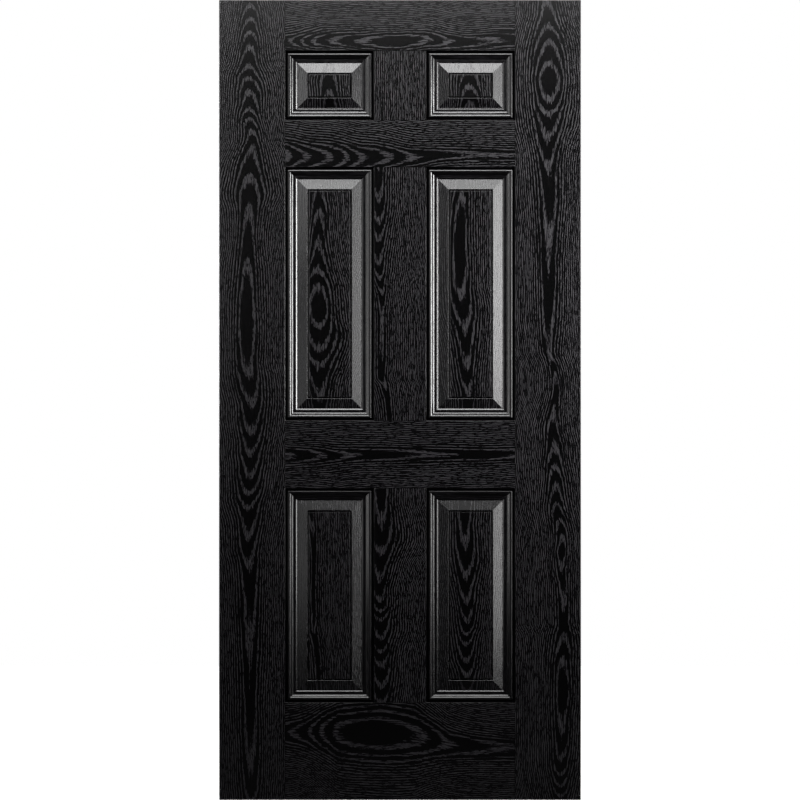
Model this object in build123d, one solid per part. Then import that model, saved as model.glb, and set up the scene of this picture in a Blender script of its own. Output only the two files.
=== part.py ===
"""Panelled front door leaf: two moulded glass-fibre skins glued over a framed foam core.

Millimetres. The origin is at the middle of the bottom edge. +X is to the right as the
outer face is looked at, +Y goes into the house and +Z is up.
"""

import os

from build123d import *

# Leaf
LEAF_WIDTH = 908.0
LEAF_HEIGHT = 2007.0
LEAF_THICKNESS = 44.0
SKIN_THICKNESS = 2.0
EDGE_BAND_THICKNESS = 2.0
EDGE_BAND_RADIUS = 1.0

# Core frame, under the skins
CORE_STILE_WIDTH = 33.0
CORE_TOP_RAIL_HEIGHT = 55.0
CORE_BOTTOM_RAIL_HEIGHT = 80.0
LOCK_BLOCK_CLEARANCE = 30.5
LOCK_BLOCK_HEIGHT = 460.0
LOCK_BLOCK_CENTRE_HEIGHT = 1000.0

# Stiles, muntins and rails as the skins show them
STILE_FACE = 165.5
MUNTIN_FACE = 131.0
TOP_RAIL_FACE = 127.0
FRIEZE_RAIL_FACE = 117.7
LOCK_RAIL_FACE = 169.3
BOTTOM_RAIL_FACE = 244.1
TOP_PANEL_HEIGHT = 174.4
BOTTOM_PANEL_HEIGHT = 538.1
JOINT_LINE_WIDTH = 1.4
JOINT_LINE_DEPTH = 0.6

# Moulding round each panel: widths run in from the panel's edge, depths go in from the face
QUIRK_WIDTH = 7.3
QUIRK_FLOOR_WIDTH = 1.6
QUIRK_DEPTH = 4.6
CREST_WIDTH = 2.2
CREST_EDGE_DEPTH = 1.1
CREST_DEPTH = 0.6
OGEE_WIDTH = 13.2
OGEE_DEPTH = 7.2
FILLET_WIDTH = 4.7
STEP_WIDTH = 3.0
BEVEL_FOOT_DEPTH = 9.2
BEVEL_WIDTH = 25.2
BEVEL_TOP_DEPTH = 2.2
GROOVE_WIDTH = 4.4
GROOVE_FLOOR_WIDTH = 0.8
GROOVE_DEPTH = 4.4
FIELD_DEPTH = 0.8
LAND_WIDTH = 3.0

# What follows from those sizes
FACE_Y = -LEAF_THICKNESS / 2
CORE_THICKNESS = LEAF_THICKNESS - 2 * SKIN_THICKNESS
SKIN_WIDTH = LEAF_WIDTH - 2 * EDGE_BAND_THICKNESS
CORE_OPENING = SKIN_WIDTH - 2 * CORE_STILE_WIDTH
CORE_STILE_X = (SKIN_WIDTH - CORE_STILE_WIDTH) / 2
EDGE_BAND_X = (LEAF_WIDTH - EDGE_BAND_THICKNESS) / 2
LOCK_BLOCK_WIDTH = STILE_FACE - EDGE_BAND_THICKNESS - CORE_STILE_WIDTH - LOCK_BLOCK_CLEARANCE
MOULDING_WIDTH = sum(
    (
        QUIRK_WIDTH,
        CREST_WIDTH,
        OGEE_WIDTH,
        FILLET_WIDTH,
        STEP_WIDTH,
        BEVEL_WIDTH,
        GROOVE_WIDTH,
    )
)

PANEL_WIDTH = (LEAF_WIDTH - 2 * STILE_FACE - MUNTIN_FACE) / 2
PANEL_X = (MUNTIN_FACE + PANEL_WIDTH) / 2
TOP_PANEL_TOP = LEAF_HEIGHT - TOP_RAIL_FACE
TOP_PANEL_FOOT = TOP_PANEL_TOP - TOP_PANEL_HEIGHT
MIDDLE_PANEL_TOP = TOP_PANEL_FOOT - FRIEZE_RAIL_FACE
BOTTOM_PANEL_TOP = BOTTOM_RAIL_FACE + BOTTOM_PANEL_HEIGHT
MIDDLE_PANEL_FOOT = BOTTOM_PANEL_TOP + LOCK_RAIL_FACE

PANEL_ROWS = (
    (TOP_PANEL_FOOT, TOP_PANEL_TOP),
    (MIDDLE_PANEL_FOOT, MIDDLE_PANEL_TOP),
    (BOTTOM_RAIL_FACE, BOTTOM_PANEL_TOP),
)
RAIL_ROWS = (
    (TOP_PANEL_TOP, LEAF_HEIGHT),
    (MIDDLE_PANEL_TOP, TOP_PANEL_FOOT),
    (BOTTOM_PANEL_TOP, MIDDLE_PANEL_FOOT),
    (0, BOTTOM_RAIL_FACE),
)


def upright_block(width, thickness, foot, top, x=0, y=0):
    """A square-edged board from one height to another."""
    return Pos(x, y, (foot + top) / 2) * Box(width, thickness, top - foot)


def moulding_front_line():
    """The moulded line from the board's flat to the raised field, as inset and depth."""
    quirk_slope = (QUIRK_WIDTH - QUIRK_FLOOR_WIDTH) / 2
    crest_end = QUIRK_WIDTH + CREST_WIDTH
    ogee_end = crest_end + OGEE_WIDTH
    fillet_end = ogee_end + FILLET_WIDTH
    step_end = fillet_end + STEP_WIDTH
    bevel_end = step_end + BEVEL_WIDTH
    groove_slope = (GROOVE_WIDTH - GROOVE_FLOOR_WIDTH) / 2
    ogee_start_point = (crest_end, CREST_DEPTH)
    ogee_middle_point = (crest_end + OGEE_WIDTH / 2, (CREST_DEPTH + OGEE_DEPTH) / 2)
    ogee_foot_point = (ogee_end, OGEE_DEPTH)

    quirk = Polyline(
        (-LAND_WIDTH, 0),
        (0, 0),
        (quirk_slope, QUIRK_DEPTH),
        (QUIRK_WIDTH - quirk_slope, QUIRK_DEPTH),
        (QUIRK_WIDTH, CREST_EDGE_DEPTH),
        ogee_start_point,
    )
    ogee_round = TangentArc(ogee_start_point, ogee_middle_point, tangent=(1, 0))
    ogee_hollow = TangentArc(ogee_middle_point, ogee_foot_point, tangent=ogee_round % 1)
    raised_panel = Polyline(
        ogee_foot_point,
        (fillet_end, OGEE_DEPTH),
        (step_end, BEVEL_FOOT_DEPTH),
        (bevel_end, BEVEL_TOP_DEPTH),
        (bevel_end + groove_slope, GROOVE_DEPTH),
        (MOULDING_WIDTH - groove_slope, GROOVE_DEPTH),
        (MOULDING_WIDTH, FIELD_DEPTH),
        (MOULDING_WIDTH + LAND_WIDTH, FIELD_DEPTH),
    )
    return Wire(quirk.edges() + ogee_round.edges() + ogee_hollow.edges() + raised_panel.edges())


def moulding_section():
    """The front line thickened into the skin's own wall."""
    wall = moulding_front_line().offset_2d(
        SKIN_THICKNESS, kind=Kind.INTERSECTION, side=Side.LEFT, closed=True
    )
    return Face(wall)


def moulding_ring(section, x, foot, top):
    """The section carried round one panel, with mitred corners."""
    left = x - PANEL_WIDTH / 2
    right = x + PANEL_WIDTH / 2
    path = Polyline(
        (x, FACE_Y, foot),
        (left, FACE_Y, foot),
        (left, FACE_Y, top),
        (right, FACE_Y, top),
        (right, FACE_Y, foot),
        close=True,
    )
    start = Plane(origin=(x, FACE_Y, foot), x_dir=(0, 0, 1), z_dir=(-1, 0, 0))
    return sweep(start * section, path=path, transition=Transition.RIGHT)


def joint_line(start, end):
    """A pressed V along a joint on the face, from one point to the other."""
    half_width = JOINT_LINE_WIDTH / 2
    run = Vector(*end) - Vector(*start)
    across = Plane(origin=start, x_dir=(0, 1, 0), z_dir=run)
    vee = Polyline(
        (-JOINT_LINE_DEPTH, -half_width),
        (0, -half_width),
        (JOINT_LINE_DEPTH, 0),
        (0, half_width),
        (-JOINT_LINE_DEPTH, half_width),
        close=True,
    )
    return extrude(across * make_face(vee), amount=run.length)


def joint_lines():
    """Rails butt against the stiles, and muntins against the rails."""
    edge = LEAF_WIDTH / 2 - STILE_FACE
    muntin = MUNTIN_FACE / 2
    lines = [
        joint_line((x, FACE_Y, foot), (x, FACE_Y, top)) for x in (-edge, edge) for foot, top in RAIL_ROWS
    ]
    lines += [
        joint_line((-muntin, FACE_Y, z), (muntin, FACE_Y, z)) for row in PANEL_ROWS for z in row
    ]
    return lines


def moulded_skin():
    """One sheet with six raised panels pressed into it."""
    section = moulding_section()
    flat_y = FACE_Y + SKIN_THICKNESS / 2
    field_inset = MOULDING_WIDTH + LAND_WIDTH
    sheet = upright_block(SKIN_WIDTH, SKIN_THICKNESS, 0, LEAF_HEIGHT, y=flat_y)
    pressed = []
    for x in (-PANEL_X, PANEL_X):
        for foot, top in PANEL_ROWS:
            sheet -= upright_block(
                PANEL_WIDTH + 2 * LAND_WIDTH,
                SKIN_THICKNESS,
                foot - LAND_WIDTH,
                top + LAND_WIDTH,
                x=x,
                y=flat_y,
            )
            pressed.append(moulding_ring(section, x, foot, top))
            pressed.append(
                upright_block(
                    PANEL_WIDTH - 2 * field_inset,
                    SKIN_THICKNESS,
                    foot + field_inset,
                    top - field_inset,
                    x=x,
                    y=flat_y + FIELD_DEPTH,
                )
            )
    skin = sheet + pressed
    return skin - joint_lines()


def edge_band(side):
    """A strip over the edge of stile and skins, with its two long outer corners eased."""
    band = upright_block(EDGE_BAND_THICKNESS, LEAF_THICKNESS, 0, LEAF_HEIGHT, x=side * EDGE_BAND_X)
    outer_face = band.faces().sort_by(Axis.X)[-1 if side > 0 else 0]
    return fillet(outer_face.edges().filter_by(Axis.Z), EDGE_BAND_RADIUS)


def core_rail(foot, top):
    """A rail between the two core stiles."""
    return upright_block(CORE_OPENING, CORE_THICKNESS, foot, top)


def foam(outer, inner, block):
    """Foam fills what skins, stiles, rails and lock block leave free."""
    core = upright_block(
        CORE_OPENING, CORE_THICKNESS, CORE_BOTTOM_RAIL_HEIGHT, LEAF_HEIGHT - CORE_TOP_RAIL_HEIGHT
    )
    return (core - outer - inner - block).solids().sort_by(SortBy.VOLUME)[-1]


outer_skin = moulded_skin()
inner_skin = mirror(outer_skin, about=Plane.XZ)
lock_block = upright_block(
    LOCK_BLOCK_WIDTH,
    CORE_THICKNESS,
    LOCK_BLOCK_CENTRE_HEIGHT - LOCK_BLOCK_HEIGHT / 2,
    LOCK_BLOCK_CENTRE_HEIGHT + LOCK_BLOCK_HEIGHT / 2,
    x=(CORE_OPENING - LOCK_BLOCK_WIDTH) / 2,
)

nodes = {
    "outer_skin": outer_skin,
    "inner_skin": inner_skin,
    "hinge_stile": upright_block(CORE_STILE_WIDTH, CORE_THICKNESS, 0, LEAF_HEIGHT, x=-CORE_STILE_X),
    "lock_stile": upright_block(CORE_STILE_WIDTH, CORE_THICKNESS, 0, LEAF_HEIGHT, x=CORE_STILE_X),
    "top_rail": core_rail(LEAF_HEIGHT - CORE_TOP_RAIL_HEIGHT, LEAF_HEIGHT),
    "bottom_rail": core_rail(0, CORE_BOTTOM_RAIL_HEIGHT),
    "lock_block": lock_block,
    "foam_core": foam(outer_skin, inner_skin, lock_block),
    "hinge_edge_band": edge_band(-1),
    "lock_edge_band": edge_band(1),
}

os.makedirs("parts", exist_ok=True)
for name, shape in nodes.items():
    export_step(shape, f"parts/{name}.step")
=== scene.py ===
import bpy
import numpy as np
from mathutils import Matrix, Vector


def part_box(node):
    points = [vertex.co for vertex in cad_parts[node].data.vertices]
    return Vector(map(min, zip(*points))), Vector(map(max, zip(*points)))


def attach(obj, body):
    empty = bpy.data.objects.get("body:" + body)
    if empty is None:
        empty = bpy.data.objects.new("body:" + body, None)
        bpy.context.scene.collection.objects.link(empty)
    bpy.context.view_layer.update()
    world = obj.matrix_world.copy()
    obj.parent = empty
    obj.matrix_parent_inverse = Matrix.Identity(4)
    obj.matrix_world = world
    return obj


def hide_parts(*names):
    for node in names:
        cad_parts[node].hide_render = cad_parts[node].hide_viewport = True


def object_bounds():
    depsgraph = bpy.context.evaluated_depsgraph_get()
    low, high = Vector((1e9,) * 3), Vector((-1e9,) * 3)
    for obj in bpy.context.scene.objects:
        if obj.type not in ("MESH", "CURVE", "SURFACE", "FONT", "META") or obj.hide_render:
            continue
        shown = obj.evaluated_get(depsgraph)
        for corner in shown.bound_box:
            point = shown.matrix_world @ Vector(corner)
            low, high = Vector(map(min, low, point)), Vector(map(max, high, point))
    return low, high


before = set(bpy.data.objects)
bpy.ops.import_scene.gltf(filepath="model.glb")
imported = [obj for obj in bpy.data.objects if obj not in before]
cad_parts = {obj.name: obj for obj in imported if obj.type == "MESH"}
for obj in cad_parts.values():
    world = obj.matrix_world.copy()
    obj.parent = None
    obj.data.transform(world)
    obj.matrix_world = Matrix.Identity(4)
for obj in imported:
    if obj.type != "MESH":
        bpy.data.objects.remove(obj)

cad_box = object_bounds()


# Moulded skins: two sheets of black glass-fibre compound, pressed hot between steel dies that
# leave the raised panels, their mouldings and an oak grain on the face. Each is glued to the core
# and runs between the two edge bands.
MM = 0.001
SKIN_THICKNESS = 2.0 * MM
STILE_FACE = 165.5 * MM
MUNTIN_FACE = 131.0 * MM
TOP_RAIL_FACE = 127.0 * MM
FRIEZE_RAIL_FACE = 117.7 * MM
LOCK_RAIL_FACE = 169.3 * MM
BOTTOM_RAIL_FACE = 244.1 * MM
TOP_PANEL_HEIGHT = 174.4 * MM
BOTTOM_PANEL_HEIGHT = 538.1 * MM
JOINT_LINE_WIDTH = 1.4 * MM
JOINT_LINE_DEPTH = 0.6 * MM

QUIRK_WIDTH = 7.3 * MM
QUIRK_FLOOR_WIDTH = 1.6 * MM
QUIRK_DEPTH = 4.6 * MM
CREST_WIDTH = 2.2 * MM
CREST_EDGE_DEPTH = 1.1 * MM
CREST_DEPTH = 0.6 * MM
OGEE_WIDTH = 13.2 * MM
OGEE_DEPTH = 7.2 * MM
FILLET_WIDTH = 4.7 * MM
STEP_WIDTH = 3.0 * MM
BEVEL_FOOT_DEPTH = 9.2 * MM
BEVEL_WIDTH = 25.2 * MM
BEVEL_TOP_DEPTH = 2.2 * MM
GROOVE_WIDTH = 4.4 * MM
GROOVE_FLOOR_WIDTH = 0.8 * MM
GROOVE_DEPTH = 4.4 * MM
FIELD_DEPTH = 0.8 * MM
ARRIS_EASE = 0.6 * MM
FLAT_MARGIN = 0.5 * MM

skin_low, skin_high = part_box("outer_skin")
SKIN_EDGE = skin_high.x
LEAF_EDGE = cad_box[1].x
LEAF_TOP = skin_high.z
FACE = -skin_low.y

quirk_slope = (QUIRK_WIDTH - QUIRK_FLOOR_WIDTH) / 2
ogee_start = QUIRK_WIDTH + CREST_WIDTH
ogee_end = ogee_start + OGEE_WIDTH
fillet_end = ogee_end + FILLET_WIDTH
bevel_foot = fillet_end + STEP_WIDTH
bevel_top = bevel_foot + BEVEL_WIDTH
groove_slope = (GROOVE_WIDTH - GROOVE_FLOOR_WIDTH) / 2
field_edge = bevel_top + GROOVE_WIDTH
section_corners = np.array(
    (
        (-QUIRK_WIDTH, 0),
        (0, 0),
        (quirk_slope, QUIRK_DEPTH),
        (QUIRK_WIDTH - quirk_slope, QUIRK_DEPTH),
        (QUIRK_WIDTH, CREST_EDGE_DEPTH),
        (ogee_start, CREST_DEPTH),
        (ogee_end, OGEE_DEPTH),
        (fillet_end, OGEE_DEPTH),
        (bevel_foot, BEVEL_FOOT_DEPTH),
        (bevel_top, BEVEL_TOP_DEPTH),
        (bevel_top + groove_slope, GROOVE_DEPTH),
        (field_edge - groove_slope, GROOVE_DEPTH),
        (field_edge, FIELD_DEPTH),
        (field_edge + QUIRK_WIDTH, FIELD_DEPTH),
    )
)


def drawn_depth(inset):
    """Depth of the drawn section: straight runs between its corners, and two equal tangent arcs for
    the ogee."""
    depth = np.interp(inset, *section_corners.T)
    half, fall = OGEE_WIDTH / 2, (OGEE_DEPTH - CREST_DEPTH) / 2
    radius = (half ** 2 + fall ** 2) / (2 * fall)
    from_crest = np.clip(inset - ogee_start, 0, half)
    from_foot = np.clip(ogee_end - inset, 0, half)
    round_arc = CREST_DEPTH + radius - np.sqrt(radius ** 2 - from_crest ** 2)
    hollow_arc = OGEE_DEPTH - radius + np.sqrt(radius ** 2 - from_foot ** 2)
    depth = np.where((inset > ogee_start) & (inset <= ogee_start + half), round_arc, depth)
    return np.where((inset > ogee_start + half) & (inset <= ogee_end), hollow_arc, depth)


def eased_depth(inset):
    """The drawn depth with every corner eased: its mean over ARRIS_EASE to each side."""
    reach = np.linspace(-ARRIS_EASE, ARRIS_EASE, 13)
    return drawn_depth(inset[..., None] + reach).mean(-1)


def front_insets():
    """Insets to model: a few across each eased corner, one a little beyond it, and even ones on the
    ogee's arcs."""
    across = ARRIS_EASE * np.array((-1, -0.5, 0, 0.5, 1))
    beside = np.array((-ARRIS_EASE - FLAT_MARGIN, ARRIS_EASE + FLAT_MARGIN))
    near_corners = section_corners[1:-1, :1] + np.append(across, beside)
    arcs = np.linspace(ogee_start, ogee_end, 13)
    found = np.unique(np.concatenate((near_corners.ravel(), arcs)))
    return found[np.append(True, np.diff(found) > ARRIS_EASE / 5)]


def back_section():
    """The glued side: the section's corners moved square to the line by the skin's thickness and mitred."""
    run = np.diff(section_corners, axis=0)
    run /= np.linalg.norm(run, axis=1)[:, None]
    square = np.stack((-run[:, 1], run[:, 0]), -1)
    before, after = np.vstack((square[:1], square)), np.vstack((square, square[-1:]))
    mitre = (before + after) / (1 + (before * after).sum(1))[:, None]
    return section_corners + SKIN_THICKNESS * mitre


top_panel_foot = LEAF_TOP - TOP_RAIL_FACE - TOP_PANEL_HEIGHT
bottom_panel_top = BOTTOM_RAIL_FACE + BOTTOM_PANEL_HEIGHT
panel_columns = np.array(
    ((STILE_FACE - LEAF_EDGE, -MUNTIN_FACE / 2), (MUNTIN_FACE / 2, LEAF_EDGE - STILE_FACE))
)
panel_rows = np.array(
    (
        (BOTTOM_RAIL_FACE, bottom_panel_top),
        (bottom_panel_top + LOCK_RAIL_FACE, top_panel_foot - FRIEZE_RAIL_FACE),
        (top_panel_foot, LEAF_TOP - TOP_RAIL_FACE),
    )
)
GRAIN_STEP = 13.0 * MM
PANEL_MARGIN = ARRIS_EASE + FLAT_MARGIN
joint_stations = PANEL_MARGIN + JOINT_LINE_WIDTH / 2 * np.array((-1, 0, 1))


def joint_depth(x, z):
    """Depth of the pressed joint lines: a V along each stile beside the rails, and one across each
    muntin where it meets a rail."""
    def vee(distance):
        return JOINT_LINE_DEPTH * np.clip(1 - distance / (JOINT_LINE_WIDTH / 2), 0, 1)

    beside_panel = ((z[..., None] > panel_rows[:, 0]) & (z[..., None] < panel_rows[:, 1])).any(-1)
    stile_joint = vee(np.abs(np.abs(x) - (LEAF_EDGE - STILE_FACE)))
    muntin_joint = vee(np.abs(z[..., None] - panel_rows.ravel()).min(-1))
    return np.where(
        beside_panel, 0, stile_joint
    ) + np.where(np.abs(x) < MUNTIN_FACE / 2, muntin_joint, 0)


def panel_inset(x, z):
    """How far inside its panel's edge a point lies, less than zero on the boards."""
    across = np.minimum(x[..., None] - panel_columns[:, 0], panel_columns[:, 1] - x[..., None]).max(-1)
    upward = np.minimum(z[..., None] - panel_rows[:, 0], panel_rows[:, 1] - z[..., None]).max(-1)
    return np.minimum(across, upward)


def stations(low, high, near=(0,)):
    """Places from low to high, about GRAIN_STEP apart, with close ones at set distances from each end."""
    near = np.array(near)
    first, last = low + near.max(), high - near.max()
    even = np.linspace(first, last, max(2, round((last - first) / GRAIN_STEP) + 1))
    return np.unique(np.round(np.concatenate(((low,), low + near, even, high - near, (high,))), 7))


def grid_stations(edge_low, edge_high, panels):
    """Places across the whole skin: plain ones on the boards and, at each panel, its own stations."""
    found = [stations(edge_low, panels[0][0] - PANEL_MARGIN)]
    for (low, high), after in zip(panels, [row[0] for row in panels[1:]] + [None]):
        found.append(stations(low - PANEL_MARGIN, high + PANEL_MARGIN, joint_stations))
        end = edge_high if after is None else after - PANEL_MARGIN
        found.append(stations(high + PANEL_MARGIN, end))
    return np.unique(np.round(np.concatenate(found), 7))


def cells(x, depth, z):
    """The four corner points of each cell of a grid of points."""
    points = np.stack(np.broadcast_arrays(x, depth, z), -1)
    corners = (points[:-1, :-1], points[1:, :-1], points[1:, 1:], points[:-1, 1:])
    return np.stack(corners, 2).reshape(-1, 4, 3)


def panel_cells(column, row, section):
    """A panel's cells: the section's line drawn in from each of its four edges, mitred at the corners
    because every inset is a smaller rectangle, and the flat field inside the last one."""
    (left, right), (foot, top) = column, row
    across = stations(left - PANEL_MARGIN, right + PANEL_MARGIN, joint_stations)
    upward = stations(foot - PANEL_MARGIN, top + PANEL_MARGIN, joint_stations)
    across = (across - across[0]) / np.ptp(across)
    upward = (upward - upward[0]) / np.ptp(upward)
    inset, depth = section[:, :1], section[:, 1:]
    x = left + inset + across * (right - left - 2 * inset)
    z = foot + inset + upward * (top - foot - 2 * inset)
    sides = (
        cells(x, depth, foot + inset),
        cells(x, depth, top - inset),
        cells(left + inset, depth, z),
        cells(right - inset, depth, z),
    )
    middle = np.broadcast_to((section[:-1, :1] + section[1:, :1]) / 2, (len(section) - 1, 1))
    insets = [np.repeat(middle.ravel(), count - 1) for count in (len(across),) * 2 + (len(upward),) * 2]
    field = cells(x[-1][:, None], depth[-1], z[-1][None, :])
    return sides, insets, field


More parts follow.
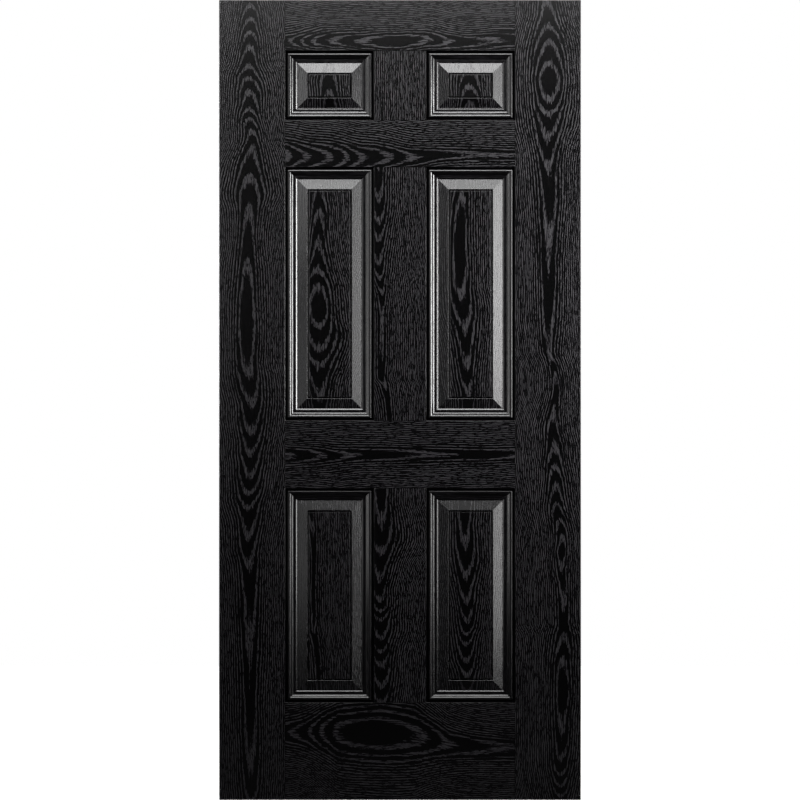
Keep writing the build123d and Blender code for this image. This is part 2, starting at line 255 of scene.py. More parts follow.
# Grain figure of each board of the die, as a sawn board shows it: places along the board, where the
# figure's axis lies across the leaf there, the number of the growth ring that comes to the face,
# and how broad the figure is, in millimetres. Places are in 800ths of the leaf's height, down from
# its top edge and to the right from 400 left of its middle.
PLACES = 800
STEP = LEAF_TOP / PLACES
RING_WIDTH = 5.2 * MM
figures = {
    "left_stile": (
        (0, 250, 15.9, 40), (12, 251, 15, 40), (26, 250, 14, 40), (39, 250, 13, 40), (56, 249, 12, 40),
        (67, 249, 11.5, 50), (73, 249, 11, 60), (78, 249, 10.5, 60), (84.5, 250, 10, 60),
        (92, 250, 9.5, 60), (102, 250, 9, 50), (110, 249, 8.5, 46), (114, 249, 8, 42),
        (119, 249, 7.5, 40), (124.5, 250, 7, 38), (131, 251, 6.5, 34), (139, 252, 6, 30),
        (148, 252, 5.5, 40), (166, 250, 5, 70), (178, 250, 4.5, 80), (192, 250, 4, 90),
        (210, 249, 3.5, 50), (237, 248, 3, 32), (264, 247, 2.5, 42), (272, 247, 2.28, 45),
        (318, 247, 1.8, 48), (365, 247, 2.28, 50), (373, 248, 2.5, 60), (388, 250, 3, 65),
        (403, 252, 3.5, 62), (418, 251, 4, 62), (432, 251, 4.5, 58), (442, 251, 5, 55),
        (453, 250, 5.5, 58), (464, 251, 6, 60), (476, 250, 6.5, 60), (486, 250, 7, 60),
        (493.5, 249, 7.5, 62), (500, 248, 8, 65), (507.5, 248, 8.5, 62), (520, 249, 9, 55),
        (536, 248, 9.5, 50), (551, 247, 10, 48), (563.5, 249, 10.5, 46), (590, 250, 11, 45),
        (645, 250, 11.5, 42), (710, 250, 12, 40), (765, 251, 12.5, 40), (790, 251, 13, 40),
        (800, 251, 13.4, 40),
    ),
    "right_stile": (
        (0, 547, 8.55, 45), (15, 548, 8, 50), (26, 548, 7.5, 65), (34, 549, 7, 75), (42, 549, 6.5, 82),
        (53, 549, 6, 85), (63, 549, 5.5, 80), (67, 549, 5.28, 76), (80, 549, 4.8, 75),
        (95, 549, 5.28, 75), (100, 549, 5.5, 78), (107, 549, 6, 85), (113, 549, 6.5, 85),
        (123, 549, 7, 85), (138, 548, 7.5, 65), (153, 548, 8, 50), (167, 548, 8.5, 48),
        (198, 550, 9, 50), (246, 549, 9.5, 36), (310, 549, 10, 34), (352, 549, 10.5, 25),
        (358, 551, 10.5, 22), (365, 554, 10, 18), (376, 556, 9.5, 15), (391, 557, 9, 14),
        (414, 553, 8.5, 25), (430, 552, 8, 33), (445, 555, 7.5, 33), (459, 555, 7, 33),
        (466, 555, 6.5, 33), (476, 556, 6, 34), (486, 556, 5.5, 35), (497, 556, 5, 36),
        (504, 556, 4.5, 36), (512, 557, 4, 34), (520, 559, 3.5, 30), (528, 561, 3, 26),
        (537, 562, 2.5, 22), (543, 562, 2.28, 19), (551, 561, 1.8, 17), (561, 561, 2.28, 17),
        (567, 561, 2.5, 18), (580, 562, 3, 19), (602, 563, 3.5, 22), (624, 564, 3.9, 28),
        (637, 564, 3.5, 45), (650, 564, 3, 45), (660, 563, 2.5, 38), (668, 563, 2.28, 34),
        (692, 563, 1.8, 32), (716, 562, 2.28, 32), (728, 562, 2.5, 34), (746, 562, 3, 36),
        (758, 561, 3.5, 38), (769, 561, 4, 38), (774, 561, 4.5, 38), (780, 561, 5, 38),
        (786, 561, 5.5, 38), (791, 561, 6, 38), (800, 561, 6.9, 38),
    ),
    "top_rail": (
        (285, 41, 6.8, 30), (290, 41, 6.5, 30), (297, 41, 6, 30), (302, 41, 5.5, 30), (307, 41, 5, 30),
        (313, 41, 4.5, 30), (321, 40, 4, 30), (331, 40, 3.5, 30), (346, 40, 3, 30), (360, 41, 2.5, 30),
        (369, 41, 2.28, 30), (396, 42, 1.8, 30), (422, 40, 2.28, 30), (428, 39, 2.5, 30),
        (438, 40, 3, 30), (448, 41, 3.5, 28), (466, 42, 4, 26), (495, 40, 4.5, 30), (515, 40, 4.8, 30),
    ),
    "frieze_rail": (
        (285, 156, 2.3, 70), (290, 156, 2.5, 70), (297, 156, 3, 70), (307, 157, 3.5, 70),
        (318, 157, 4, 70), (330, 157, 4.5, 70), (340, 157, 5, 68), (347, 157, 5.5, 66),
        (354, 158, 6, 66), (362, 158, 6.5, 64), (376, 157, 7, 60), (391, 157, 7.5, 50),
        (400, 157, 8, 45), (413, 157, 8.5, 40), (440, 155, 9, 28), (490, 155, 9.5, 26),
        (515, 155, 9.6, 26),
    ),
    "lock_rail": (
        (285, 456, 2.3, 30), (291, 456, 2.5, 30), (307, 456, 3, 30), (322, 456, 3.5, 30),
        (335, 456, 4, 30), (349, 455, 4.5, 30), (385, 454, 5, 28), (435, 455, 5.5, 26),
        (490, 454, 6, 26), (515, 453, 6.2, 26),
    ),
    "bottom_rail": (
        (285, 732, 5.8, 60), (292, 732, 5.5, 60), (303, 732, 5, 70), (310, 732, 4.5, 80),
        (316, 732, 4, 95), (321, 732, 3.5, 110), (329, 732, 3, 130), (335, 733, 2.5, 150),
        (339, 733, 2.28, 160), (380, 733, 1.8, 170), (415, 735, 2.28, 160), (424, 737, 2.5, 130),
        (436, 740, 3, 100), (448, 744, 3.5, 70), (475, 747, 4, 50), (507, 748, 4.5, 45),
        (515, 748, 4.6, 45),
    ),
    "bottom_muntin": (
        (488, 381, 1.8, 40), (500, 381, 2, 40), (520, 381, 2.5, 70), (539, 381, 3, 90),
        (551, 381, 3.5, 70), (564, 381, 4, 42), (578, 380, 4.5, 34), (590, 379, 5, 30),
        (600, 380, 5.5, 36), (606, 380, 6, 40), (611, 380, 6.5, 44), (615, 380, 7, 48),
        (619, 380, 7.5, 54), (628, 381, 8, 60), (638, 381, 8.5, 52), (645, 381, 9, 46),
        (652, 381, 9.5, 45), (657, 381, 10, 45), (665, 381, 10.5, 48), (676, 381, 11, 50),
        (686, 381, 11.5, 50), (694, 381, 12, 50), (703, 381, 12.5, 50),
    ),
    "middle_muntin": (
        (167, 378, 1.6, 30), (185, 378, 2, 30), (198, 379, 2.5, 32), (210, 379, 3, 33),
        (221, 379, 3.5, 33), (229, 379, 4, 33), (239, 379, 4.5, 33), (249, 379, 5, 30),
        (263, 379, 5.5, 25), (271, 380, 6, 22), (278, 380, 6.5, 20), (285, 381, 7, 18),
        (292, 382, 7.5, 18), (301, 382, 8, 16), (316, 382, 8.5, 15), (350, 382, 8.6, 15),
        (378, 381, 9, 16), (385, 385, 9.5, 16), (402, 388, 10, 16), (421, 389, 10.2, 16),
    ),
    "top_muntin": ((50, 350, 8, 30), (121, 351, 8, 30)),
    "bottom_left_panel": (
        (488, 308, 0.8, 12), (505, 310, 1, 12), (530, 313, 1.5, 11), (550, 314, 1.9, 10),
        (580, 314, 2, 9), (612, 314, 2.1, 9), (630, 313, 2.5, 10), (645, 316, 2.9, 11),
        (660, 318, 3, 12), (703, 319, 3.4, 14),
    ),
    "bottom_right_panel": (
        (488, 465, 1.4, 40), (520, 465, 2, 40), (543, 465, 2.5, 55), (561, 466, 3, 60),
        (575, 466, 3.5, 50), (588, 466, 4, 42), (601, 467, 4.5, 38), (611, 467, 5, 36),
        (621, 467, 5.5, 36), (629, 467, 6, 36), (634, 466, 6.5, 36), (639, 466, 7, 38),
        (644, 466, 7.5, 42), (652, 466, 8, 45), (661, 466, 8.5, 45), (668, 467, 9, 45),
        (675, 467, 9.5, 45), (703, 467, 11, 45),
    ),
    "middle_left_panel": (
        (167, 318, 7, 45), (190, 318, 6.4, 45), (200, 318, 6, 42), (212, 319, 5.5, 38),
        (227, 318, 5, 32), (243, 318, 4.5, 36), (258, 318, 4, 45), (270, 317, 3.5, 60),
        (278, 317, 3, 70), (286, 318, 2.5, 72), (292, 318, 2.28, 72), (307, 318, 1.8, 72),
        (322, 318, 2.28, 90), (325, 318, 2.5, 100), (336, 319, 3, 125), (349, 319, 3.5, 115),
        (357, 319, 4, 100), (365, 319, 4.5, 90), (381, 319, 5, 60), (397, 320, 5.5, 50),
        (421, 320, 6.2, 45),
    ),
    "middle_right_panel": (
        (167, 462, 3.4, 40), (182, 462, 3, 40), (196, 462, 2.5, 40), (204, 461, 2.28, 40),
        (245, 460, 1.8, 42), (287, 460, 2.28, 50), (295, 461, 2.5, 58), (312, 463, 3, 70),
        (327, 465, 3.5, 60), (346, 466, 4, 48), (366, 466, 4.5, 40), (380, 466, 5, 38),
        (393, 468, 5.5, 36), (421, 468, 6.3, 36),
    ),
    "top_left_panel": (
        (50, 329, 4.3, 50), (64, 329, 3.5, 55), (80, 328, 3, 55), (92, 329, 2.5, 45), (102, 330, 2, 42),
        (121, 330, 1.5, 42),
    ),
    "top_right_panel": (
        (50, 469, 4.5, 60), (66, 469, 3.5, 65), (79, 469, 3, 65), (86.5, 469, 2.5, 55),
        (95, 470, 2, 48), (103, 470, 1.5, 45), (121, 470, 0.6, 45),
    ),
}
board_names = list(figures)
MOULDING_UPRIGHT, MOULDING_LEVEL, GLUED_SIDE = len(figures), len(figures) + 1, len(figures) + 2
ROW_NAMES = ("bottom", "middle", "top")


def eased_between(at, places, values):
    """Values between set places: a cubic on each run, level where the values turn, and elsewhere with
    the harmonic mean of the slopes on its two sides."""
    run = np.diff(places)
    slope = np.diff(values) / run
    before, after = slope[:-1], slope[1:]
    turning = before * after <= 0
    inner = np.where(turning, 0, 2 * before * after / np.where(turning, 1, before + after))
    slopes = np.concatenate((slope[:1], inner, slope[-1:]))
    part = np.clip(np.searchsorted(places, at) - 1, 0, len(run) - 1)
    share = np.clip((at - places[part]) / run[part], 0, 1)
    left = 1 - share
    from_left = left ** 2 * ((1 + 2 * share) * values[part] + share * run[part] * slopes[part])
    from_right = share ** 2 * ((1 + 2 * left) * values[part + 1] - left * run[part] * slopes[part + 1])
    return from_left + from_right


def board_under(x, z):
    """Which board of the face each point lies on, panels left out."""
    number = np.full(x.shape, board_names.index("left_stile"))
    number[x > 0] = board_names.index("right_stile")
    between = np.abs(x) < LEAF_EDGE - STILE_FACE
    edges = panel_rows.ravel()
    level = np.searchsorted(edges, z)
    for row, name in zip((0, 2, 4, 6), ("bottom_rail", "lock_rail", "frieze_rail", "top_rail")):
        number[between & (level == row)] = board_names.index(name)
    for row, name in zip((1, 3, 5), ROW_NAMES):
        number[between & (level == row)] = board_names.index(name + "_muntin")
    return number


def grain_coordinates(corners, boards):
    """For each corner, distance along the grain, distance across it from the figure's axis and the ring
    at the axis, and with those the figure's width. The mouldings have straight grain along their length."""
    x, depth, z = np.moveaxis(corners, -1, 0)
    column, row = x / STEP + PLACES / 2, PLACES - z / STEP
    grain = np.zeros(corners.shape)
    width = np.full(x.shape, RING_WIDTH)
    for number, (name, points) in enumerate(figures.items()):
        here = boards == number
        along, across = (column[here], row[here]) if name.endswith("rail") else (row[here], column[here])
        place, axis, ring, breadth = np.array(points).T
        from_axis = across - np.interp(along, place, axis)
        grain[here] = np.stack((along * STEP, from_axis * STEP, eased_between(along, place, ring)), -1)
        width[here] = eased_between(along, place, breadth * MM)
    for number, along, across in ((MOULDING_UPRIGHT, z, x), (MOULDING_LEVEL, x, z)):
        here = boards == number
        grain[here] = np.stack((along[here], across[here] + depth[here], np.zeros(along[here].shape)), -1)
    return grain, width


def turned_to(corners, facing):
    """The cells with their corners in the order that makes them face a given way."""
    normal = np.cross(corners[:, 2] - corners[:, 0], corners[:, 3] - corners[:, 1])
    wrong = (normal * np.array(facing)).sum(-1) < 0
    corners[wrong] = corners[wrong][:, ::-1]
    return corners


def skin_cells():
    """All cells of one skin, as points (x, depth, z), each with the number of its board."""
    insets = front_insets()
    front = np.stack((insets, eased_depth(insets)), -1)
    back = back_section()
    back = back[(back[:, 0] > -PANEL_MARGIN)]
    back = np.vstack(((-PANEL_MARGIN, SKIN_THICKNESS), back))
    x = grid_stations(-SKIN_EDGE, SKIN_EDGE, panel_columns)[:, None]
    z = grid_stations(0, LEAF_TOP, panel_rows)[None, :]
    found = []

    face = cells(x, joint_depth(*np.broadcast_arrays(x, z)), z)
    glued = cells(x, SKIN_THICKNESS, z)
    middle = face.mean(1)
    open_cell = np.ones(len(middle), bool)
    for left, right in panel_columns:
        for foot, top in panel_rows:
            open_cell &= ~(
                (np.abs(middle[:, 0] - (left + right) / 2) < (right - left) / 2 + PANEL_MARGIN)
                & (np.abs(middle[:, 2] - (foot + top) / 2) < (top - foot) / 2 + PANEL_MARGIN)
            )
    face, glued, middle = face[open_cell], glued[open_cell], middle[open_cell]
    found.append((turned_to(face, (0, -1, 0)), board_under(middle[:, 0], middle[:, 2])))
    found.append((turned_to(glued, (0, 1, 0)), np.full(len(glued), GLUED_SIDE)))

    for column, side in zip(panel_columns, ("left", "right")):
        for row, level in zip(panel_rows, ROW_NAMES):
            board = board_names.index(f"{level}_{side}_panel")
            sides, middles, field = panel_cells(column, row, front)
            mouldings = (MOULDING_LEVEL, MOULDING_LEVEL, MOULDING_UPRIGHT, MOULDING_UPRIGHT)
            for strip, inset, moulding in zip(sides, middles, mouldings):
                strip[..., 1] = np.maximum(strip[..., 1], joint_depth(strip[..., 0], strip[..., 2]))
                found.append((turned_to(strip, (0, -1, 0)), np.where(inset < bevel_foot, moulding, board)))
            found.append((turned_to(field, (0, -1, 0)), np.full(len(field), board)))
            sides, middles, field = panel_cells(column, row, back)
            for strip in (*sides, field):
                found.append((turned_to(strip, (0, 1, 0)), np.full(len(strip), GLUED_SIDE)))

    for edge in (-SKIN_EDGE, SKIN_EDGE):
        rim_z = z.T
        rim = cells(edge, np.array((0, SKIN_THICKNESS)), rim_z)
        found.append((turned_to(rim, (edge, 0, 0)), np.full(len(rim), GLUED_SIDE)))
    for edge, facing in ((0, -1), (LEAF_TOP, 1)):
        notch = joint_depth(*np.broadcast_arrays(x, np.array(edge)))
        rim = cells(x, np.hstack((notch, np.full(notch.shape, SKIN_THICKNESS))), edge)
        found.append((turned_to(rim, (0, 0, facing)), np.full(len(rim), GLUED_SIDE)))
    corners, boards = zip(*found)
    return np.concatenate(corners), np.concatenate(boards)


# Painted shade: in the quirk and the groove round the field, where light hardly reaches, the colour is
# taken nearly to black and the gloss turned down. The pressed joint lines are duller than the boards beside
# them.
HOLLOW_EDGE = 0.6 * MM
painted_shade_insets = np.array(
    (-HOLLOW_EDGE, 0, QUIRK_WIDTH - HOLLOW_EDGE / 2, QUIRK_WIDTH + HOLLOW_EDGE, bevel_top + HOLLOW_EDGE,
     bevel_top + 2 * HOLLOW_EDGE, field_edge - 1.5 * HOLLOW_EDGE, field_edge - HOLLOW_EDGE / 2)
)
painted_shade_shares = (1, 0, 0, 1, 1, 0.05, 0.05, 1)
JOINT_LINE_SHARE = 0.22
MOULDING_GRAIN_SHARE = 0.35
BEVEL_GRAIN_SHARE = 0.6
skin_corners, skin_boards = skin_cells()
skin_grain, figure_width = grain_coordinates(skin_corners, skin_boards)
inset_there = panel_inset(skin_corners[..., 0], skin_corners[..., 2])
# The grain's openness also carries the painted shade of the quirk and the groove: near nothing there.
grain_openness_and_painted_shade = np.interp(inset_there, painted_shade_insets, painted_shade_shares)
skin_inset = inset_there.mean(1)
moulded = (skin_inset > 0) & (skin_inset < bevel_foot)
bevelled = (skin_inset > bevel_foot) & (skin_inset < bevel_top)
# Painted light: bevels that face down keep the full grain grey, so they show lighter than the bevels that
# face up or sideways.
facing = np.cross(skin_corners[:, 2] - skin_corners[:, 0], skin_corners[:, 3] - skin_corners[:, 1])
down_facing_painted_lighter = facing[:, 2] < -0.2 * np.linalg.norm(facing, axis=1)
grain_and_painted_light_share = np.where(moulded, MOULDING_GRAIN_SHARE, np.where(bevelled & ~down_facing_painted_lighter, BEVEL_GRAIN_SHARE, 1))
grain_openness_and_painted_shade *= grain_and_painted_light_share[:, None]
on_face = (skin_boards != GLUED_SIDE) & (skin_inset < 0)
in_joint = joint_depth(skin_corners[..., 0], skin_corners[..., 2]) > JOINT_LINE_DEPTH / 2
jointed = on_face & in_joint.any(1)
grain_openness_and_painted_shade[jointed] *= JOINT_LINE_SHARE
seeds = np.broadcast_to(skin_boards[:, None] * 3.7, grain_openness_and_painted_shade.shape)
skin_look = np.stack((seeds, figure_width, grain_openness_and_painted_shade), -1)


WELD_REACH = 0.001 * MM


def skin_chart():
    """Where each corner lies on a flat square: the face fills nearly all of it as it is seen from the
    front, the glued side is squeezed into a strip on the right, and the rims into thin strips beyond."""
    x, depth, z = np.moveaxis(skin_corners, -1, 0)
    across, up, through = x / (2 * LEAF_EDGE) + 0.5, z / LEAF_TOP, depth / SKIN_THICKNESS
    face_across = 0.005 + 0.955 * across
    chart = np.stack((face_across, 0.005 + 0.97 * up), -1)
    hidden = skin_boards == GLUED_SIDE
    chart[hidden, :, 0] = 0.965 + 0.015 * across[hidden]
    upright_rim = np.ptp(x, axis=1) < WELD_REACH
    chart[upright_rim, :, 0] = 0.984 + 0.006 * through[upright_rim] + 0.008 * (x[upright_rim] > 0)
    level_rim = np.ptp(z, axis=1) < WELD_REACH
    chart[level_rim, :, 0] = face_across[level_rim]
    chart[level_rim, :, 1] = 0.98 + 0.006 * through[level_rim] + 0.01 * (z[level_rim] > 0)
    return chart


def add_skin(name, turn):
    """The welded skin, made for the outer side and turned half round the leaf's upright for the inner."""
    places = np.stack((skin_corners[..., 0], skin_corners[..., 1] - FACE, skin_corners[..., 2]), -1)
    places = places.reshape(-1, 3) * (turn, turn, 1)
    _, first, number = np.unique(np.round(places, 6), axis=0, return_index=True, return_inverse=True)
    mesh = bpy.data.meshes.new(name)
    mesh.from_pydata(places[first], [], number.reshape(-1, 4))
    for attribute, values in (("grain", skin_grain), ("board", skin_look)):
        layer = mesh.attributes.new(attribute, "FLOAT_VECTOR", "CORNER")
        layer.data.foreach_set("vector", values.astype(np.float32).ravel())
    chart = mesh.uv_layers.new(name="OFBake")
    chart.data.foreach_set("uv", skin_chart().astype(np.float32).ravel())
    mesh.shade_smooth()
    mesh.set_sharp_from_angle(angle=np.radians(14))
    skin = bpy.data.objects.new(name, mesh)
    bpy.context.scene.collection.objects.link(skin)
    return skin


def shader(name):
    """A new material's node tree and its main shader."""
    material = bpy.data.materials.new(name)
    material.use_nodes = True
    return material, material.node_tree, material.node_tree.nodes["Principled BSDF"]


def node(tree, kind, inputs=(), **settings):
    """One shader node: settings are its properties, and inputs, by place or name, are values or links."""
    made = tree.nodes.new("ShaderNode" + kind)
    for key, value in settings.items():
        setattr(made, key, value)
    pairs = inputs.items() if isinstance(inputs, dict) else enumerate(inputs)
    for key, value in pairs:
        if isinstance(value, bpy.types.NodeSocket):
            tree.links.new(value, made.inputs[key])
        else:
            made.inputs[key].default_value = value
    return made


def maths(tree, operation, *inputs):
    """The result of one sum on values or links."""
    return node(tree, "Math", inputs, operation=operation).outputs[0]


def noise(tree, vector, scale=1.0, detail=2.0, **settings):
    """Fractal noise from 0 to 1 at a place."""
    found = node(tree, "TexNoise", {"Vector": vector, "Scale": scale, "Detail": detail}, **settings)
    return found.outputs[0]


def between(tree, value, low, high, to_low=0.0, to_high=1.0):
    """A value carried smoothly from one range to another, and held at its ends."""
    inputs = {"Value": value, 1: low, 2: high, 3: to_low, 4: to_high}
    return node(tree, "MapRange", inputs, interpolation_type="SMOOTHSTEP").outputs[0]


def mixed(tree, share, first, second):
    """A colour between two others, by a share from 0 to 1."""
    return node(tree, "Mix", {0: share, 6: first, 7: second}, data_type="RGBA").outputs[2]


SMOOTH_BLACK = (0.0005, 0.00045, 0.00055, 1)
PORED_GREY = (0.0092, 0.0082, 0.0102, 1)
SMOOTH_ROUGHNESS = 0.17
PORED_ROUGHNESS = 0.43
FIGURE_WANDER = 12.0 * MM
LINE_WANDER = 2.0 * MM
RING_WANDER = 0.35
CROWDED_FROM = 0.45
CROWDING = 0.22
STREAK_STRENGTH = 3.4
PORE_DEPTH = 0.3 * MM


def skin_material():
    """Pressed oak grain, with painted shade. Growth rings are equal distances from the pith line, worked
    out from each corner's grain coordinates; noise bends them, breaks them into pores and makes them rough.
    Where the openness falls to nothing, in the quirk and the groove, the colour is painted black and the
    gloss taken away."""
    material, tree, main = shader("moulded_skin")
    grain = node(tree, "Attribute", attribute_name="grain").outputs["Vector"]
    board = node(tree, "Attribute", attribute_name="board").outputs["Vector"]
    along, across, ring = node(tree, "SeparateXYZ", (grain,)).outputs
    seed, width, grain_openness_and_painted_shade = node(tree, "SeparateXYZ", (board,)).outputs
    # lit: how much grain and gloss shows, nothing where shade is painted in the quirk and the groove.
    lit = between(tree, grain_openness_and_painted_shade, 0, MOULDING_GRAIN_SHARE)

    def stretched(along_scale, across_scale):
        scaled_along = maths(tree, "MULTIPLY", along, along_scale)
        scaled_across = maths(tree, "MULTIPLY", across, across_scale)
        return node(tree, "CombineXYZ", (scaled_along, scaled_across, seed)).outputs[0]

    bend = maths(tree, "SUBTRACT", noise(tree, stretched(7, 22), detail=2.0), 0.5)
    ragged = maths(tree, "SUBTRACT", noise(tree, stretched(90, 260), detail=2.0), 0.5)
    bent = maths(tree, "MULTIPLY_ADD", bend, FIGURE_WANDER, across)
    bent = maths(tree, "MULTIPLY_ADD", ragged, LINE_WANDER, bent)
    squares = maths(tree, "MULTIPLY_ADD", bent, bent, maths(tree, "MULTIPLY", width, width))
    reach = maths(tree, "SUBTRACT", maths(tree, "SQRT", squares), width)
    beyond = maths(tree, "MULTIPLY_ADD", width, -CROWDED_FROM, maths(tree, "ABSOLUTE", bent))
    reach = maths(tree, "MULTIPLY_ADD", maths(tree, "MAXIMUM", beyond, 0.0), CROWDING, reach)
    rings = maths(tree, "MULTIPLY_ADD", reach, 1 / RING_WIDTH, ring)
    rings = maths(tree, "MULTIPLY_ADD", ragged, RING_WANDER, rings)
    wave = maths(tree, "COSINE", maths(tree, "MULTIPLY", rings, 2 * np.pi))
    streak = maths(tree, "SUBTRACT", noise(tree, stretched(12, 360), detail=3.0), 0.5)
    late = maths(tree, "MULTIPLY_ADD", streak, STREAK_STRENGTH, maths(tree, "MULTIPLY", wave, -1.0))
    late = maths(tree, "ADD", late, between(tree, reach, 0.004, 0.03, -0.1, 0.2))
    pored = between(tree, late, 0.0, 0.8)
    pored = maths(tree, "MULTIPLY", pored, grain_openness_and_painted_shade)
    speck = noise(tree, stretched(70, 520), detail=2.0)
    pore = between(tree, speck, 0.36, 0.62, 0.25, 1.0)
    tone = maths(tree, "MULTIPLY", maths(tree, "MULTIPLY", pored, pore), lit)
    tree.links.new(mixed(tree, tone, SMOOTH_BLACK, PORED_GREY), main.inputs["Base Color"])
    roughness = between(tree, tone, 0, 1, SMOOTH_ROUGHNESS, PORED_ROUGHNESS)
    tree.links.new(roughness, main.inputs["Roughness"])
    # Painted shade: the gloss is turned down with lit in the quirk and the groove.
    gloss = maths(tree, "MULTIPLY", maths(tree, "MULTIPLY", lit, lit), 0.5)
    tree.links.new(gloss, main.inputs["Specular IOR Level"])
    height = maths(tree, "MULTIPLY", pored, maths(tree, "MULTIPLY_ADD", speck, 0.6, -0.7))
    bump = node(tree, "Bump", {"Strength": 0.2, "Distance": PORE_DEPTH, "Height": height})
    tree.links.new(bump.outputs[0], main.inputs["Normal"])
    return material


moulded_skin = skin_material()
for skin_node, turn in (("outer_skin", 1), ("inner_skin", -1)):
    skin = add_skin("moulded_" + skin_node, turn)
    skin.data.materials.append(moulded_skin)
    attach(skin, "root")
    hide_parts(skin_node)


# Edge bands: extruded black strips glued over the long edges, so that neither the timber stiles
# nor the skins' cut edges show when the leaf stands open.
def band_material():
    """Satin black with a faint draw along the strip's length."""
    material, tree, main = shader("edge_band")
    place = node(tree, "TexCoord").outputs["Object"]
    drawn = node(tree, "Mapping", {"Vector": place, "Scale": (900, 900, 4)}).outputs[0]
    drawn = noise(tree, drawn, detail=2.0)
    main.inputs["Base Color"].default_value = (0.012, 0.012, 0.0125, 1)
    tree.links.new(between(tree, drawn, 0.3, 0.7, 0.34, 0.46), main.inputs["Roughness"])
    return material


edge_band = band_material()
for band_node in ("hinge_edge_band", "lock_edge_band"):
    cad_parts[band_node].data.materials.clear()
    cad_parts[band_node].data.materials.append(edge_band)


# Core timber: stiles and lock block are laminated veneer, peeled softwood glued in even layers.
# Only the ends of the stiles show, at the leaf's top and bottom edges.
def timber_material():
    """Tan veneers about 3 mm thick with a dark glue line between them."""
    material, tree, main = shader("laminated_timber")
    place = node(tree, "TexCoord").outputs["Object"]
    _, through, _ = node(tree, "SeparateXYZ", (place,)).outputs
    fibre = node(tree, "Mapping", {"Vector": place, "Scale": (260, 900, 26)}).outputs[0]
    fibre = noise(tree, fibre, detail=4.0)
    layer = maths(tree, "FRACT", maths(tree, "DIVIDE", through, 3.2 * MM))
    glue = between(tree, maths(tree, "ABSOLUTE", maths(tree, "SUBTRACT", layer, 0.5)), 0.4, 0.5)
    wood = mixed(tree, fibre, (0.42, 0.27, 0.14, 1), (0.66, 0.49, 0.3, 1))
    wood = mixed(tree, glue, wood, (0.13, 0.07, 0.035, 1))
    tree.links.new(wood, main.inputs["Base Color"])
    tree.links.new(between(tree, fibre, 0.2, 0.8, 0.6, 0.85), main.inputs["Roughness"])
    return material


laminated_timber = timber_material()
for timber_node in ("hinge_stile", "lock_stile", "lock_block"):
    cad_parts[timber_node].data.materials.clear()
    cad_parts[timber_node].data.materials.append(laminated_timber)


# Core rails: rot-proof composite planks between the stiles at the leaf's head and foot, sawn to
# length, with the foam poured against them.
def rail_material():
    """Dark compressed composite with paler flecks."""
    material, tree, main = shader("composite_rail")
    place = node(tree, "TexCoord").outputs["Object"]
    fleck = noise(tree, place, scale=420, detail=3.0)
    paleness = between(tree, fleck, 0.45, 0.7)
    colour = mixed(tree, paleness, (0.055, 0.05, 0.046, 1), (0.16, 0.145, 0.13, 1))
    tree.links.new(colour, main.inputs["Base Color"])
    tree.links.new(between(tree, fleck, 0.3, 0.7, 0.55, 0.8), main.inputs["Roughness"])
    return material


composite_rail = rail_material()
for rail_node in ("top_rail", "bottom_rail"):
    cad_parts[rail_node].data.materials.clear()
    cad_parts[rail_node].data.materials.append(composite_rail)


# Foam core: pale rigid polyurethane, poured between the skins, that fills the rest of the leaf.
# It is closed in on every side.
def foam_material():
    """Pale straw colour with fine open cells."""
    material, tree, main = shader("rigid_foam")
    place = node(tree, "TexCoord").outputs["Object"]
    cell = noise(tree, place, scale=900, detail=2.0)
    colour = mixed(tree, cell, (0.62, 0.5, 0.28, 1), (0.83, 0.74, 0.5, 1))
    tree.links.new(colour, main.inputs["Base Color"])
    tree.links.new(between(tree, cell, 0.3, 0.7, 0.75, 0.95), main.inputs["Roughness"])
    return material


foam_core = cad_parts["foam_core"]
foam_core.data.materials.clear()
foam_core.data.materials.append(foam_material())


# Studio: a pale floor under the leaf, a white surround, broad lamps above and in front, tall ones on
# the right and weaker ones on the left, all repeated behind. The camera looks square at the outer face.
FLOOR_REACH = 6.0
FLOOR_SHADE_REACH = 0.5
FLOOR_WHITE_REACH = 2.0
FLOOR_DROP = 0.2 * MM


def floor_material():
    """Pale matt floor: white to the camera, with a shadow by the leaf, and dark to the light that it
    throws back, so that the lower face keeps its black."""
    material, tree, main = shader("studio_floor")
    ray = node(tree, "LightPath").outputs["Is Camera Ray"]
    place = node(tree, "TexCoord").outputs["Object"]
    distance = node(tree, "VectorMath", (place,), operation="LENGTH").outputs["Value"]
    glow = between(tree, distance, FLOOR_SHADE_REACH, FLOOR_WHITE_REACH, 0.9, 1.0)
    colour = mixed(tree, ray, (0.03, 0.03, 0.03, 1), (0.9, 0.9, 0.9, 1))
    tree.links.new(colour, main.inputs["Base Color"])
    main.inputs["Roughness"].default_value = 0.9
    main.inputs["Specular IOR Level"].default_value = 0.0
    main.inputs["Emission Color"].default_value = (1, 1, 1, 1)
    tree.links.new(maths(tree, "MULTIPLY", ray, glow), main.inputs["Emission Strength"])
    return material


floor_mesh = bpy.data.meshes.new("studio_floor")
floor_corner = np.array(((-1, -1, 0), (1, -1, 0), (1, 1, 0), (-1, 1, 0))) * FLOOR_REACH
floor_mesh.from_pydata(floor_corner - (0, 0, FLOOR_DROP), [], [(0, 1, 2, 3)])
floor_mesh.materials.append(floor_material())
floor = bpy.data.objects.new("studio_floor", floor_mesh)
bpy.context.scene.collection.objects.link(floor)

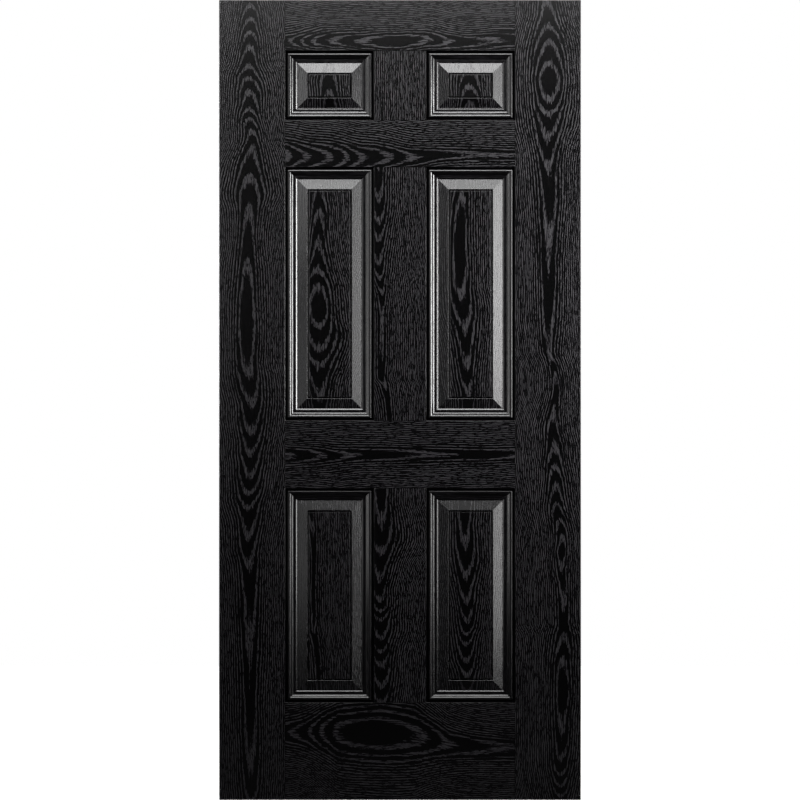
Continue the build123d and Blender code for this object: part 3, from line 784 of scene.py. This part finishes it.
world = bpy.data.worlds.new("studio")
world.use_nodes = True
bpy.context.scene.world = world
sky = world.node_tree
background = sky.nodes["Background"]
rays = node(sky, "LightPath").outputs
direction = node(sky, "TexCoord").outputs["Generated"]
_, behind, up = node(sky, "SeparateXYZ", (direction,)).outputs
surround = between(sky, up, -0.3, 0.8, 0.002, 0.017)
backdrop = maths(sky, "MULTIPLY", between(sky, behind, 0.5, 0.8), between(sky, up, 0.2, 0.4))
mirrored = maths(sky, "MULTIPLY", rays["Is Glossy Ray"], backdrop)
seen = maths(sky, "MAXIMUM", rays["Is Camera Ray"], rays["Is Transmission Ray"])
seen = maths(sky, "MAXIMUM", seen, mirrored)
level = node(sky, "Mix", {0: seen, 2: surround, 3: 1.0}, data_type="FLOAT").outputs[0]
background.inputs["Color"].default_value = (1, 1, 1, 1)
sky.links.new(level, background.inputs["Strength"])


def softbox(name, place, target, size, power, spread):
    """A rectangular lamp at a place, facing a target."""
    lamp = bpy.data.lights.new(name, "AREA")
    lamp.shape = "RECTANGLE"
    lamp.size, lamp.size_y = size
    lamp.energy = power
    lamp.spread = np.radians(spread)
    box = bpy.data.objects.new(name, lamp)
    bpy.context.scene.collection.objects.link(box)
    aim = Vector(target) - Vector(place)
    box.location = place
    box.rotation_euler = aim.to_track_quat("-Z", "Y").to_euler()
    box.visible_camera = False
    return box


# Name, place, what it faces, width and height, watts, and the angle that it spreads over.
LAMPS = (
    ("lamp_overhead", (0, -1.2, 3.3), (0, 0, 1.6), (2.0, 0.5), 51.5, 180),
    ("lamp_high_front", (0, -3.0, 4.1), (0, 0, 1.9), (2.6, 0.55), 6.9, 60),
    ("lamp_front", (0, -3.0, 3.2), (0, 0, 1.9), (2.6, 0.4), 6.2, 60),
    ("lamp_top_glare", (0, -3.0, 2.45), (0, 0, 1.9), (2.6, 0.25), 0.53, 60),
    ("lamp_right_upper", (2.2, -3.0, 2.2), (0, 0, 1.6), (0.4, 0.8), 1.9, 90),
    ("lamp_right_middle", (2.2, -3.0, 1.4), (0, 0, 1.4), (0.4, 0.8), 3.6, 90),
    ("lamp_right_lower", (2.2, -3.0, 0.6), (0, 0, 1.0), (0.4, 0.8), 2.0, 90),
    ("lamp_right_front", (1.75, -3.0, 1.4), (0, 0, 1.4), (0.4, 1.2), 1.2, 90),
    ("lamp_right_near", (1.3, -0.9, 1.4), (0.4, 0, 1.4), (0.3, 1.0), 10.5, 90),
    ("lamp_right_side", (2.3, -1.3, 1.5), (0, 0, 1.4), (0.6, 2.2), 47.5, 180),
    ("lamp_left_upper", (-2.15, -3.0, 2.0), (0, 0, 1.6), (0.4, 1.0), 1.16, 90),
    ("lamp_left_lower", (-2.15, -3.0, 0.8), (0, 0, 1.2), (0.4, 1.0), 0.44, 90),
    ("lamp_left_near", (-1.1, -3.0, 1.7), (-0.4, 0, 1.5), (0.4, 1.4), 0.5, 60),
    ("lamp_left_side", (-2.3, -1.3, 1.5), (0, 0, 1.4), (0.6, 2.2), 9.0, 180),
    ("lamp_left_edge", (-2.0, -0.35, 1.5), (0, 0, 1.4), (0.4, 2.0), 13.1, 180),
)
HALF_TURN = np.array((-1, -1, 1))
for lamp_name, lamp_place, lamp_target, lamp_size, lamp_power, lamp_spread in LAMPS:
    for lamp_side, turn in (("", 1), ("_behind", HALF_TURN)):
        turned_place, turned_target = np.array(lamp_place) * turn, np.array(lamp_target) * turn
        softbox(lamp_name + lamp_side, turned_place, turned_target, lamp_size, lamp_power, lamp_spread)

CAMERA_DISTANCE = 12.0
SENSOR_WIDTH = 36.0
camera_data = bpy.data.cameras.new("camera")
camera_data.sensor_width = SENSOR_WIDTH
camera_data.lens = SENSOR_WIDTH * CAMERA_DISTANCE / LEAF_TOP
camera = bpy.data.objects.new("camera", camera_data)
bpy.context.scene.collection.objects.link(camera)
camera.location = (0, -FACE - CAMERA_DISTANCE, LEAF_TOP / 2)
camera.rotation_euler = (np.pi / 2, 0, 0)
bpy.context.scene.camera = camera

bpy.context.scene.view_settings.view_transform = "Standard"
